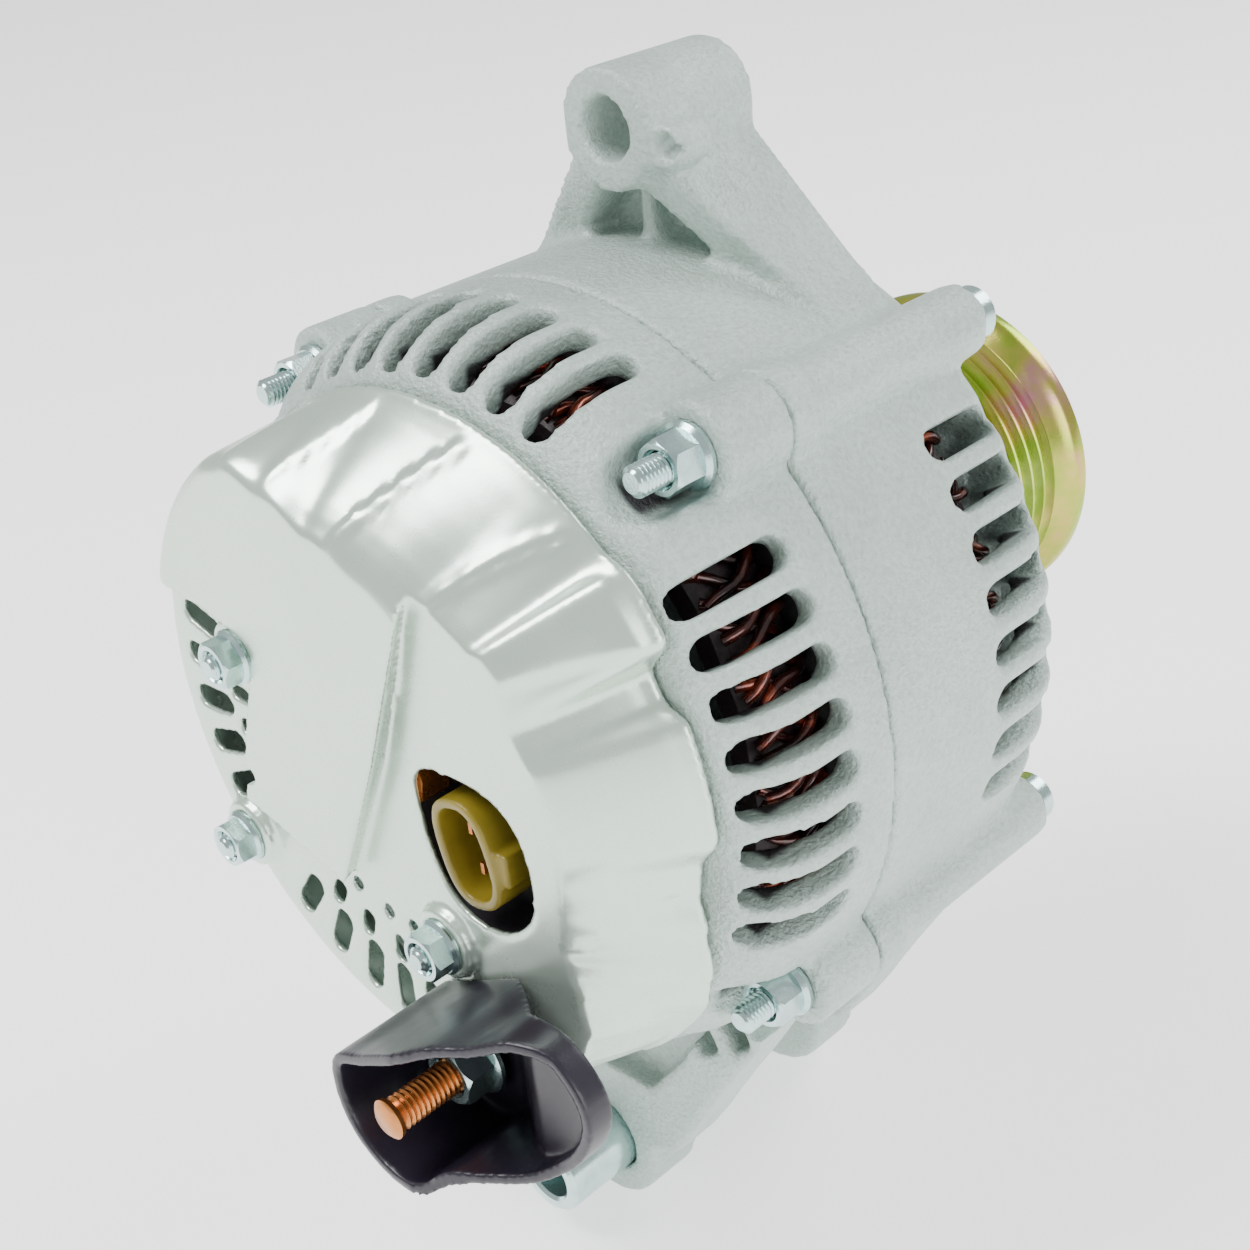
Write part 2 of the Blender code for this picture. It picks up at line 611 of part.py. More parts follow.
shell = add("connector_shell", prism(oval_outline(*CONNECTOR, 6.6, 9.6, CONNECTOR_TILT), -49.0, -39.0), "olive_plastic")
join(shell, "connector_tab", block(24.0, 29.0, -48.0, -40.0, -11.5, -5.5))
cut(shell, "connector_socket", prism(oval_outline(*CONNECTOR, 5.0, 8.0, CONNECTOR_TILT), -55.0, -41.0))
PINS = [(19.6, -4.6), (21.2, -11.4)]
cut(shell, "pin_slots", *[block(x - 0.8, x + 0.8, -43.0, -30.0, z - 1.4, z + 1.4) for x, z in PINS])
for k, (x, z) in enumerate(PINS):
    add(f"connector_pin_{k + 1}", block(x - 0.4, x + 0.4, -46.5, -38.8, z - 1.0, z + 1.0), "copper")

# The boot is a cup round the output stud, with a second lobe for the cable.
BOOT = [
    (9.6, -37.4), (7.4, -41.4), (7.6, -48.0), (10.4, -53.6), (15.6, -57.2), (21.6, -58.4), (27.0, -57.0), (31.4, -53.2),
    (37.0, -51.6), (46.0, -48.6), (53.4, -42.0), (57.4, -34.4), (56.6, -28.0), (51.0, -22.6), (44.0, -22.0),
    (37.6, -24.6), (31.0, -26.4), (22.8, -30.6), (15.4, -34.6),
]


def shrunk(outline, by):
    """The outline moved inwards, square to each side's neighbours."""
    n, out = len(outline), []
    for i, (x, z) in enumerate(outline):
        (ax, az), (bx, bz) = outline[i - 1], outline[(i + 1) % n]
        length = hypot(bx - ax, bz - az)
        out.append((x - (bz - az) / length * by, z + (bx - ax) / length * by))
    return out


def rim_y(x):
    """The boot's rim slopes from the stud's side to the cable's."""
    return -72.0 + 10.0 * min(1.0, max(0.0, (x - 26.0) / 24.0))


def boot_shape(build):
    loft([[(x, rim_y(x), z) for x, z in BOOT], [(x, -50.4, z) for x, z in BOOT]])(build)


boot = add("terminal_boot", boot_shape, "black_plastic")
boolean(boot, add("boot_hollow", prism(shrunk(BOOT, 2.2), -80.0, -52.6)))
cut(boot, "boot_stud_hole", cylinder(*STUD, 3.4, -60.0, -45.0, 18))
stud = rod("output_stud", "copper", *STUD, 3.0, -71.0, -34.0, 16)
join(stud, "stud_tip", cylinder(*STUD, 3.5, -72.4, -70.6, 16))
output_nut = rod("output_nut", "zinc", *STUD, 6.4, -54.2, -52.9, 20)
join(output_nut, "output_hex", cylinder(*STUD, 5.6, -59.5, -53.6, 6))
cut(output_nut, "output_nut_bore", cylinder(*STUD, 3.3, -70.0, -45.0, 18))

# ------------------------------------------------------------------ finish
for made in list(parts.objects):
    if made.type == "MESH":
        made.data.shade_smooth()
        made.data.set_sharp_from_angle(angle=radians(35))
    made.location.y -= BELT_Y * MM
for made in list(cutters.objects):
    made.location.y -= BELT_Y * MM
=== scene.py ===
"""The car alternator's looks: cast housings, stamped rear cover, windings, fasteners."""
import random
from math import cos, hypot, pi, radians, sin

import bmesh
import bpy
from mathutils import Matrix, Vector


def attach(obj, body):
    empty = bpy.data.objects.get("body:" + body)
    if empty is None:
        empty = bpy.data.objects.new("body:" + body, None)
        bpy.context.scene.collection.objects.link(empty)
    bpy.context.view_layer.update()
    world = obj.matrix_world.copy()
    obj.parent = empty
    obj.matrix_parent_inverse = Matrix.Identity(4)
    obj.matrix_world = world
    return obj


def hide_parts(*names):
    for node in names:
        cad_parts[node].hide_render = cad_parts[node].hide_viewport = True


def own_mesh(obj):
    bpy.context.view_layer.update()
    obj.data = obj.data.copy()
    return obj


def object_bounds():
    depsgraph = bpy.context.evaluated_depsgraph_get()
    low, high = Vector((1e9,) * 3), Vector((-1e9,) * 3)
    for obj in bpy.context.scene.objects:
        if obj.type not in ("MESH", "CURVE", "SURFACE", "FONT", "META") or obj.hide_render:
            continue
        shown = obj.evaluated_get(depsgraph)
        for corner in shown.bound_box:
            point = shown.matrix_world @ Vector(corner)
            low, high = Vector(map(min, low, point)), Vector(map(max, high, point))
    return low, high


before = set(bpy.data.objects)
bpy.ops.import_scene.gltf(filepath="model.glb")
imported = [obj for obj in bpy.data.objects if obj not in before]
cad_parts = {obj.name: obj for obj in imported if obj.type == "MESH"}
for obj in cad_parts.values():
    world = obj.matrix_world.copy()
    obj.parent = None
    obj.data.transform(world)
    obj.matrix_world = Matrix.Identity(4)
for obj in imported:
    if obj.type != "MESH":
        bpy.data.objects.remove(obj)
cad_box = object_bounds()
MM = 0.001
BELT_Y = 86.68          # the origin is at the belt; sizes below count from the housings' joint
REAR_FACE, FRONT_FACE, HOUSING_R = -30.2, 51.0, 66.0
SHOULDER_R = 54.5       # where each end face meets its rounded shoulder
SLOT = 5.0
REAR_PITCH, FRONT_PITCH = 7.6, 7.8      # degrees from slot to slot
BOSS_R, FRONT_BOSS_R, BOLT_HOLE_R = 8.0, 6.2, 2.9
BOLT_ANGLES = (136.0, 50.6, -35.6, -132.4)
EAR_Z, LUG, LUG_R = 85.8, (3.1, -98.7), 13.6
STUD = (21.0, -44.5)
CLOCK = 5.6
COVER_STEP = -49.9
random.seed(7)


# ------------------------------------------------------------------ camera
def turned(v, angle=CLOCK):
    a = radians(angle)
    return Vector((v[0] * cos(a) - v[2] * sin(a), v[1], v[0] * sin(a) + v[2] * cos(a)))


def make_camera():
    az, el, roll = radians(49.495), radians(23.696), radians(-10.401)
    shift_right, shift_up, distance = 5.509, 3.609, 332.301
    back = Vector((sin(az) * cos(el), -cos(az) * cos(el), sin(el)))
    right = Vector((0, 0, 1)).cross(back).normalized()
    up = back.cross(right)
    side = right * cos(roll) + up * sin(roll)
    top = -right * sin(roll) + up * cos(roll)
    place = back * distance + side * shift_right + top * shift_up
    side, top, back, place = turned(side), turned(top), turned(back), turned(place)
    place.y -= BELT_Y
    data = bpy.data.cameras.new("camera")
    data.lens = 1915.129 * 36 / 1250
    data.sensor_width = 36
    data.clip_start = 0.02
    camera = bpy.data.objects.new("camera", data)
    rows = [(side[i], top[i], back[i], place[i] * MM) for i in range(3)] + [(0, 0, 0, 1)]
    camera.matrix_world = Matrix(rows)
    bpy.context.scene.collection.objects.link(camera)
    bpy.context.scene.camera = camera


make_camera()


# --------------------------------------------------------------- materials
def sooted(nodes, links, coords, base):
    """Paints shade on what lies inside the housings, where little light reaches."""
    split = nodes.new("ShaderNodeSeparateXYZ")
    links.new(coords.outputs["Object"], split.inputs["Vector"])

    def math(kind, a, b=None):
        node = nodes.new("ShaderNodeMath")
        node.operation = kind
        for socket, value in zip(node.inputs, (a, b)):
            if isinstance(value, (int, float)):
                socket.default_value = value
            elif value is not None:
                links.new(value, socket)
        return node.outputs[0]

    def between(value, low, high):
        node = nodes.new("ShaderNodeMapRange")
        node.interpolation_type = "SMOOTHSTEP"
        node.inputs["From Min"].default_value = low
        node.inputs["From Max"].default_value = high
        links.new(value, node.inputs["Value"])
        return node.outputs["Result"]

    x, y, z = split.outputs
    radius = math("SQRT", math("ADD", math("MULTIPLY", x, x), math("MULTIPLY", z, z)))
    inside = math("SUBTRACT", 1.0, between(radius, 0.0600, 0.0618))
    along = math("ABSOLUTE", math("SUBTRACT", y, 0.0105 - BELT_Y * MM))
    inside = math("MULTIPLY", inside, math("SUBTRACT", 1.0, between(along, 0.0335, 0.0350)))
    mix = nodes.new("ShaderNodeMix")
    mix.data_type = "RGBA"
    # The painted shade's colour: near black.
    mix.inputs["B"].default_value = (0.018, 0.012, 0.016, 1)
    links.new(math("MULTIPLY", inside, 0.96), mix.inputs["Factor"])
    links.new(base, mix.inputs["A"])
    return mix.outputs["Result"]


def material(name, colour, metal, rough, **more):
    """A Principled material with grain, blotches and worn spots from noise, and optional painted shade
    inside.
    """
    mat = bpy.data.materials.new(name)
    mat.use_nodes = True
    nodes, links = mat.node_tree.nodes, mat.node_tree.links
    shader = nodes["Principled BSDF"]
    shader.inputs["Metallic"].default_value = metal
    shader.inputs["Coat Weight"].default_value = more.get("coat", 0.0)
    shader.inputs["Coat Roughness"].default_value = 0.15
    coords = nodes.new("ShaderNodeTexCoord")

    def noise(scale, detail=3.0, rough_=0.6):
        tex = nodes.new("ShaderNodeTexNoise")
        tex.inputs["Scale"].default_value = scale
        tex.inputs["Detail"].default_value = detail
        tex.inputs["Roughness"].default_value = rough_
        links.new(coords.outputs["Object"], tex.inputs["Vector"])
        return tex.outputs["Fac"]

    def ramp(value, stops):
        made = nodes.new("ShaderNodeValToRGB")
        made.color_ramp.elements[0].position = stops[0][0]
        made.color_ramp.elements[0].color = (*stops[0][1], 1)
        made.color_ramp.elements[1].position = stops[-1][0]
        made.color_ramp.elements[1].color = (*stops[-1][1], 1)
        for where, rgb in stops[1:-1]:
            made.color_ramp.elements.new(where).color = (*rgb, 1)
        links.new(value, made.inputs["Fac"])
        return made.outputs["Color"]

    spread = more.get("spread", 0.12)
    dark = tuple(c * (1 - spread) for c in colour)
    light = tuple(min(1, c * (1 + spread)) for c in colour)
    stops = more.get("stops") or [(0.3, dark), (0.5, colour), (0.72, light)]
    base = ramp(noise(more.get("blotch", 90), 4), stops)
    fleck = more.get("fleck", 0)
    if fleck:
        mix = nodes.new("ShaderNodeMix")
        mix.data_type = "RGBA"
        mix.blend_type = "MULTIPLY"
        mix.inputs["Factor"].default_value = fleck
        links.new(base, mix.inputs["A"])
        links.new(ramp(noise(more.get("grain", 1600), 2), [(0.3, (0.55,) * 3), (0.65, (1.0,) * 3)]),
                  mix.inputs["B"])
        base = mix.outputs["Result"]
    # Painted shade darkens the housings' inside surfaces.
    if more.get("soot"):
        base = sooted(nodes, links, coords, base)
    links.new(base, shader.inputs["Base Color"])
    change = nodes.new("ShaderNodeMapRange")
    change.inputs["To Min"].default_value = max(0.02, rough - more.get("rough_spread", 0.06))
    change.inputs["To Max"].default_value = rough + more.get("rough_spread", 0.06)
    links.new(noise(more.get("rough_scale", 250)), change.inputs["Value"])
    links.new(change.outputs["Result"], shader.inputs["Roughness"])
    bump = nodes.new("ShaderNodeBump")
    bump.inputs["Strength"].default_value = more.get("bump", 0.15)
    bump.inputs["Distance"].default_value = more.get("depth", 0.0003)
    links.new(noise(more.get("grain", 1600), 3), bump.inputs["Height"])
    links.new(bump.outputs["Normal"], shader.inputs["Normal"])
    return mat


# The cast housings get painted shade on their inside surfaces.
CAST = material("cast_aluminium", (0.50, 0.595, 0.55), 0.35, 0.50, blotch=45, spread=0.09, grain=1100,
                bump=0.9, depth=0.0006, fleck=0.38, soot=True)
COVER = material("cover_aluminium", (0.64, 0.755, 0.66), 0.70, 0.27, blotch=30, spread=0.035, grain=2600,
                 bump=0.05, depth=0.0002, rough_scale=120)
ZINC = material("clear_zinc", (0.52, 0.68, 0.67), 0.95, 0.20, blotch=300, spread=0.12, grain=2500,
                bump=0.08)
YELLOW = material("yellow_zinc", (0.5, 0.5, 0.15), 0.95, 0.24, blotch=55, grain=2200, bump=0.06,
                  stops=[(0.30, (0.62, 0.26, 0.32)), (0.42, (0.50, 0.42, 0.10)), (0.55, (0.30, 0.42, 0.04)),
                         (0.70, (0.50, 0.58, 0.14)), (0.80, (0.60, 0.34, 0.38))])
STEEL = material("bare_steel", (0.42, 0.44, 0.45), 0.95, 0.34, blotch=200, grain=2000, bump=0.1)
LAMINATE = material("laminations", (0.12, 0.12, 0.12), 0.7, 0.5, grain=900, bump=0.4)
ENAMEL = material("enamelled_wire", (0.20, 0.045, 0.02), 0.55, 0.16, blotch=160, grain=900, bump=0.1,
                  coat=0.5,
                  stops=[(0.36, (0.014, 0.005, 0.006)), (0.55, (0.075, 0.013, 0.010)),
                         (0.74, (0.50, 0.085, 0.03))])
DARK = material("winding_core", (0.018, 0.008, 0.010), 0.1, 0.5, blotch=200, grain=700, bump=0.6)
COPPER = material("bare_copper", (0.52, 0.20, 0.06), 0.95, 0.28, blotch=200, spread=0.2, grain=2500,
                  bump=0.08)
RUBBER = material("boot_rubber", (0.012, 0.009, 0.018), 0.0, 0.34, blotch=70, spread=0.3, grain=2400,
                  bump=0.12,
                  depth=0.0002)
BLACK = material("black_moulding", (0.016, 0.014, 0.02), 0.0, 0.45, grain=2000, bump=0.15)
OLIVE = material("olive_moulding", (0.21, 0.155, 0.014), 0.0, 0.36, blotch=150, spread=0.15, grain=2200,
                 bump=0.12)
CARBON = material("graphite", (0.04, 0.04, 0.04), 0.2, 0.6, grain=1500, bump=0.3)
# The CAD nodes that keep their own shape, and those that a finer piece replaces.
LOOKS = {
    LAMINATE: ("stator_core",),
    DARK: ("stator_winding",),
    ENAMEL: ("field_coil",),
    CAST: ("rectifier_heat_sink", "rear_housing", "drive_end_housing"),
    BLACK: ("regulator", "brush_holder", "slip_ring_hub"),
    CARBON: ("brush_1", "brush_2"),
    COPPER: ("slip_ring_inner", "slip_ring_outer", "connector_pin_1", "connector_pin_2",
             "front_ball_cage", "rear_ball_cage", "output_stud"),
    ZINC: ("pulley_spacer", "pulley_nut", "output_nut", "mounting_bushing",
           "tie_", "cover_nut", "cover_stud", "diode"),
    COVER: ("rear_cover",),
    YELLOW: ("pulley",),
    RUBBER: ("terminal_boot",),
    OLIVE: ("connector_shell",),
    STEEL: ("rotor", "claw", "front_fan", "rear_fan", "front_bearing", "rear_bearing", "bearing",
            "retainer", "brush_spring"),
}


def look_for(node):
    """The material whose list names the node in full, or else the start of its name."""
    for look, names in LOOKS.items():
        if node in names:
            return look
    return next((look for look, names in LOOKS.items() if node.startswith(names)), STEEL)


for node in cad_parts:
    for held in bpy.data.objects[node].material_slots:
        held.material = look_for(node)


# -------------------------------------------------------------- mesh tools
def polar(angle, r):
    """A point (x, z) at this angle and radius about the rotor axis."""
    a = radians(angle)
    return r * cos(a), r * sin(a)


def clocked(x, z):
    """The cover and what it carries sit turned by CLOCK from the housings."""
    a = radians(CLOCK)
    return x * cos(a) - z * sin(a), x * sin(a) + z * cos(a)


def add(name, shapes):
    """One mesh from shapes given in millimetres, with y counted from the housings' joint."""
    build = bmesh.new()
    for shape in shapes if isinstance(shapes, list) else [shapes]:
        shape(build)
    bmesh.ops.translate(build, vec=(0, -BELT_Y, 0), verts=build.verts)
    bmesh.ops.scale(build, vec=(MM, MM, MM), verts=build.verts)
    bmesh.ops.recalc_face_normals(build, faces=build.faces)
    mesh = bpy.data.meshes.new(name)
    build.to_mesh(mesh)
    build.free()
    made = bpy.data.objects.new(name, mesh)
    bpy.context.scene.collection.objects.link(made)
    return made


def turned_shape(profile, seg=96, x=0.0, z=0.0, start=0.0):
    """A closed (r, y) outline turned about the axis through x and z."""
    def shape(build):
        rings = []
        for r, y in profile:
            if r == 0:
                rings.append([build.verts.new((x, y, z))] * seg)
            else:
                rings.append([
                    build.verts.new((x + r * cos(start + 2 * pi * k / seg), y,
                                     z + r * sin(start + 2 * pi * k / seg)))
                    for k in range(seg)
                ])
        for low, high in zip(rings, rings[1:] + rings[:1]):
            if low[0] is low[1] and high[0] is high[1]:
                continue
            for k in range(seg):
                j = (k + 1) % seg
                face = []
                for v in (low[k], high[k], high[j], low[j]):
                    if v not in face:
                        face.append(v)
                build.faces.new(face)
    return shape


def prism(outline, y0, y1):
    def shape(build):
        face = build.faces.new([build.verts.new((x, y0, z)) for x, z in outline])
        grown = bmesh.ops.extrude_face_region(build, geom=[face])
        ends = [v for v in grown["geom"] if isinstance(v, bmesh.types.BMVert)]
        bmesh.ops.translate(build, vec=(0, y1 - y0, 0), verts=ends)
    return shape


def cylinder(x, z, r, y0, y1, seg=40):
    place = Matrix.Translation((x, (y0 + y1) / 2, z)) @ Matrix.Rotation(pi / 2, 4, "X")

    def shape(build):
        bmesh.ops.create_cone(build, cap_ends=True, segments=seg, radius1=r, radius2=r, depth=y1 - y0,
                              matrix=place)
    return shape


def block(x0, x1, y0, y1, z0, z1):
    place = Matrix.Translation(((x0 + x1) / 2, (y0 + y1) / 2, (z0 + z1) / 2))
    place = place @ Matrix.Diagonal((x1 - x0, y1 - y0, z1 - z0, 1))
    return lambda build: bmesh.ops.create_cube(build, size=1, matrix=place)


def loft(loops):
    def shape(build):
        rows = [[build.verts.new(p) for p in loop] for loop in loops]
        count = len(rows[0])
        for low, high in zip(rows, rows[1:]):
            for k in range(count):
                j = (k + 1) % count
                build.faces.new((low[k], low[j], high[j]))
                build.faces.new((low[k], high[j], high[k]))
        bmesh.ops.triangulate(build, faces=[build.faces.new(rows[0]), build.faces.new(rows[-1])])
    return shape


def sector_box(angle, r0, r1, width, y0, y1):
    place = Matrix.Rotation(-radians(angle), 4, "Y")
    place = place @ Matrix.Translation(((r0 + r1) / 2, (y0 + y1) / 2, 0))
    place = place @ Matrix.Diagonal((r1 - r0, y1 - y0, width, 1))
    return lambda build: bmesh.ops.create_cube(build, size=1, matrix=place)


def radial_slot(angle, r0, r1, width, y0, y1):
    """A slot cut straight in from outside, with round ends along Y."""
    a, h = radians(angle), width / 2
    points = []
    for y, t0 in ((y1 - h, 0), (y0 + h, 180)):
        for t in range(t0, t0 + 181, 20):
            points.append((h * cos(radians(t)), y + h * sin(radians(t))))
    u, v = (cos(a), sin(a)), (-sin(a), cos(a))
    low = [(u[0] * r0 + v[0] * s, y, u[1] * r0 + v[1] * s) for s, y in points]
    flare = 1.12
    high = [(u[0] * r1 + v[0] * s * flare, y, u[1] * r1 + v[1] * s * flare) for s, y in points]
    return loft([low, high])


def bake(thing):
    """Applies every modifier."""
    graph = bpy.context.evaluated_depsgraph_get()
    mesh = bpy.data.meshes.new_from_object(thing.evaluated_get(graph))
    thing.modifiers.clear()
    thing.data = mesh


def csg(thing, steps):
    """Joins and cuts in order, then drops the tools."""
    tools = []
    for n, (operation, shapes) in enumerate(steps):
        tool = shapes if isinstance(shapes, bpy.types.Object) else add(f"{thing.name}_tool_{n}", shapes)
        tools.append(tool)
        step = thing.modifiers.new(f"step_{n}", "BOOLEAN")
        step.operation, step.solver, step.object = operation, "MANIFOLD", tool
    bpy.context.view_layer.update()
    bake(thing)
    for tool in tools:
        bpy.data.objects.remove(tool, do_unlink=True)
    return thing


def soften(thing, voxel, rounds, factor=0.5):
    """Fillets every edge, as a casting or a pressing has."""
    step = thing.modifiers.new("voxels", "REMESH")
    step.mode, step.voxel_size, step.use_smooth_shade = "VOXEL", voxel * MM, True
    smooth = thing.modifiers.new("smooth", "SMOOTH")
    smooth.factor, smooth.iterations = factor, rounds
    bpy.context.view_layer.update()
    bake(thing)
    thing.data.shade_smooth()
    return thing


def placed(thing, mat, body, slot, *nodes, smooth=True, sharp=None):
    thing.data.materials.clear()
    thing.data.materials.append(mat)
    if smooth and thing.type == "MESH":
        thing.data.shade_smooth()
        if sharp:
            thing.data.set_sharp_from_angle(angle=radians(sharp))
    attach(thing, body)
    if nodes:
        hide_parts(*nodes)
    return thing


J, C = "UNION", "DIFFERENCE"
BOLTS = [polar(a, HOUSING_R) for a in BOLT_ANGLES]


def arc_points(r0, y0, r1, y1, n):
    """A quarter of an ellipse from (r0, y0), where it runs along Y, to (r1, y1)."""
    return [
        (r1 + (r0 - r1) * cos(pi / 2 * k / n), y0 + (y1 - y0) * sin(pi / 2 * k / n))
        for k in range(n + 1)
    ]


def lug_outline(x_side):
    x, z = LUG
    end = [(x + LUG_R * cos(radians(a)), z + LUG_R * sin(radians(a))) for a in range(-170, 11, 6)]
    return end + [(22.5, -93.5), (27.4, -86.0), (31.4, -79.2), (36.0, -71.8), (41.0, -64.0),
                  (47.0, -54.0), (30.0, -48.0), x_side]


# ------------------------------------------------------------ rear housing
def rear_housing():
    shoulder = arc_points(HOUSING_R, -14.0, SHOULDER_R, REAR_FACE, 12)
    body = add("rear_casting", turned_shape([(0, -0.15), (HOUSING_R, -0.15), *shoulder, (0, REAR_FACE)],
                                            144))
    bosses = [cylinder(x, z, BOSS_R, -14.0, -0.15) for x, z in BOLTS]
    cavity = add("rear_hollow", turned_shape(
        [(0, 5.0), (61.9, 5.0), (61.9, -6.6), (61.0, -6.6), *arc_points(61.0, -12.0, 50.0, -26.4, 10),
         (0, -26.4)], 96))
    csg(cavity, [(C, [cylinder(x, z, 8.1, -45, -11) for x, z in BOLTS]),
                 (C, [cylinder(0, 0, 22, -45, -19.5, 64)])])
    angles = [34.8 - REAR_PITCH * k for k in range(8)] + [66.7 + REAR_PITCH * k for k in range(8)]
    angles += [163.0 + REAR_PITCH * k for k in range(6)] + [-54.0, -61.6, -110.0, -117.6]
    slots = [radial_slot(a, 52.5, 72.0, SLOT, -28.4, -8.1) for a in angles]
    csg(body, [
        *[(J, boss) for boss in bosses],
        (J, prism(lug_outline((-32.0, -50.0)), -15.0, -3.0)),
        (C, cavity),
        (C, slots),
        (C, [cylinder(x, z, 6.3, -45, -14.0) for x, z in BOLTS]),
        (C, [cylinder(x, z, BOLT_HOLE_R, -20, 5) for x, z in BOLTS]),
        (C, [cylinder(0, 0, 17.8, -45, 0, 64), cylinder(*LUG, 8.3, -40, 0, 48)]
         + [sector_box(30 + 60 * k, 26, 47, 13, -45, -20) for k in range(6)]),
    ])
    # A shallow pan in the lower lug's rear face, inside its rim.
    pan = [(3.0, -80.0), (18.0, -80.0), (27.5, -68.0), (33.5, -57.0), (-14.0, -57.0), (-6.0, -72.0)]
    csg(body, [(C, prism(pan, -20.0, -10.0))])
    soften(body, 0.9, 3)
    placed(body, CAST, "frame", "cast_aluminium", "rear_housing")


# -------------------------------------------------------- drive-end housing
def drive_end_housing():
    shoulder = arc_points(HOUSING_R, 35.0, SHOULDER_R, FRONT_FACE, 12)
    body = add("front_casting", turned_shape(
        [(0, 0.15), (HOUSING_R, 0.15), *shoulder, (30.0, FRONT_FACE), (29.0, 54.0), (0, 54.0)], 144))
    hollow = add("front_hollow", turned_shape(
        [(0, -5), (61.9, -5), (61.9, 24.6), (61.0, 24.6), *arc_points(61.0, 32.0, 50.0, 46.6, 10),
         (0, 46.6)], 96))
    csg(hollow, [(C, [cylinder(0, 0, 30, 36.9, 60, 64)])])
    angles = [36.6 - FRONT_PITCH * k for k in range(8)] + [162.5 + FRONT_PITCH * k for k in range(6)]
    slots = [radial_slot(a, 50.0, 72.0, SLOT, 26.9, 48.6) for a in angles]
    arm = [(9.6, 81.5), (36.5, 55.0), (27.0, 53.0), (3.0, 78.0)]
    arms = []
    for side in (1, -1):
        low = [(side * x, y, z) for (x, z), y in zip(arm, (16.5, 28.0, 28.0, 16.5))]
        high = [(side * x, y, z) for (x, z), y in zip(arm, (40.0, 41.0, 41.0, 40.0))]
        arms.append((J, loft([low, high])))
    steps = [(J, cylinder(x, z, BOSS_R, 0.15, 7.0)) for x, z in BOLTS]
    steps += [(J, cylinder(x, z, FRONT_BOSS_R, 5.0, 50.0)) for x, z in BOLTS]
    steps += [
        (J, cylinder(0, EAR_Z, 10.0, 15.0, 40.0, 64)),
        (J, prism([(-35.5, 54.0), (-9.6, 82.0), (9.6, 82.0), (35.5, 54.0)], 28.5, 34.0)),
        *arms,
        (J, prism([(-1.3, 60.0), (1.3, 60.0), (1.3, 80.0), (-1.3, 80.0)], 22.5, 30.0)),
        (J, cylinder(11.8, 84.0, 3.6, 15.4, 24.0)),
        (J, prism(lug_outline((-32.0, -50.0)), 33.0, 45.0)),
        (C, hollow),
        (C, slots),
        (C, [cylinder(x, z, BOLT_HOLE_R, -5, 55) for x, z in BOLTS]),
        (C, [cylinder(0, EAR_Z, 5.1, 0, 60, 48), cylinder(*LUG, 5.1, 20, 60, 48),
             cylinder(0, 0, 23.8, 20, 51.3, 64)]),
        (C, [cylinder(0, 0, 14.5, 45, 60, 64), cylinder(12.4, 84.2, 2.2, 14.0, 18.5)]),
        (C, [sector_box(30 + 60 * k, 33.0, 38.5, 15.0, 40.0, 60.0) for k in range(6)]),
    ]
    csg(body, steps)
    soften(body, 1.12, 3)
    placed(body, CAST, "frame", "cast_aluminium", "drive_end_housing")


# -------------------------------------------------------------- rear cover
FACE_EDGE = [
    (-180, 55.7), (-60, 55.7), (-50, 55.0), (-43, 52.6), (-37, 48.0), (-32, 43.5), (-28, 40.6), (-18, 40.4),
    (-5, 40.2), (10, 39.6), (24, 38.6), (34, 41.4), (40, 41.2), (50, 40.0), (56, 38.3), (72, 39.8),
    (88, 43.3), (100, 49.0), (110, 54.4), (118, 55.7), (180, 55.7),
]
RIM_EDGE = [
    (-180, 57.0), (-66, 57.0), (-58, 61.0), (-38, 61.0), (-32, 59.5), (-24, 56.0), (-18, 53.5), (-12, 53.5),
    (-5, 57.0), (13, 56.5), (18, 53.0), (22, 53.0), (26, 59.4), (35, 59.6), (42, 57.5), (80, 57.0),
    (180, 57.0),
]


def read(table, angle):
    """The radius at an angle, eased between the table's rows."""
    for (a0, r0), (a1, r1) in zip(table, table[1:]):
        if a0 <= angle <= a1:
            t = (angle - a0) / (a1 - a0)
            return r0 + (r1 - r0) * t * t * (3 - 2 * t)
    return table[-1][1]


# Raised and sunk bands down the side wall: height, then start and end angles at the rim and at the face.
BANDS = [
    (-0.9, 67.0, 87.0, 82.5, 100.0), (0.55, 64.0, 67.0, 79.5, 82.5), (0.5, 43.6, 45.6, 54.6, 57.4),
    (-0.9, 38.6, 43.6, 40.6, 54.6), (0.9, 24.5, 37.4, 32.4, 39.6), (-0.7, -30.0, -13.6, -44.0, -31.4),
]


def step_up(value, edge, width=0.9):
    t = min(1.0, max(0.0, (value - edge + width / 2) / width))
    return t * t * (3 - 2 * t)


def band_height(angle, along):
    total = 0.0
    for height, rim0, rim1, face0, face1 in BANDS:
        low, high = rim0 + (face0 - rim0) * along, rim1 + (face1 - rim1) * along
        total += height * step_up(angle, low) * (1 - step_up(angle, high))
    return total


def cover_loft(offset, y_face, y_rim, count=720):
    """The side wall leans in evenly from a rolled rim to a tight bend at the face."""
    verts = []
    depth = y_rim - y_face
    levels = [(0.0, 1.0, -0.7), (0.06, 1.0, -0.7), (0.095, 0.99, 0.0), (0.2, 0.90, 0), (0.35, 0.75, 0),
              (0.5, 0.59, 0),
              (0.65, 0.42, 0), (0.8, 0.24, 0.0), (0.88, 0.13, 0.05), (0.94, 0.05, 0.45), (0.98, 0.0,
                                                            1.1), (1.0, 0.0, 2.4)]
    for along, share, inset in levels:
        detail = min(1.0, max(0.0, (along - 0.08) / 0.1)) * min(1.0, (1.0 - along) / 0.06)
        for k in range(count):
            angle = -180 + 360 * k / count
            face, rim = read(FACE_EDGE, angle), read(RIM_EDGE, angle)
            r = face + (rim - face) * share - inset - offset + band_height(angle, along) * detail
            x, z = clocked(*polar(angle, r))
            verts.append((x, y_rim - depth * along, z))
    return loft([verts[i:i + count] for i in range(0, len(verts), count)])


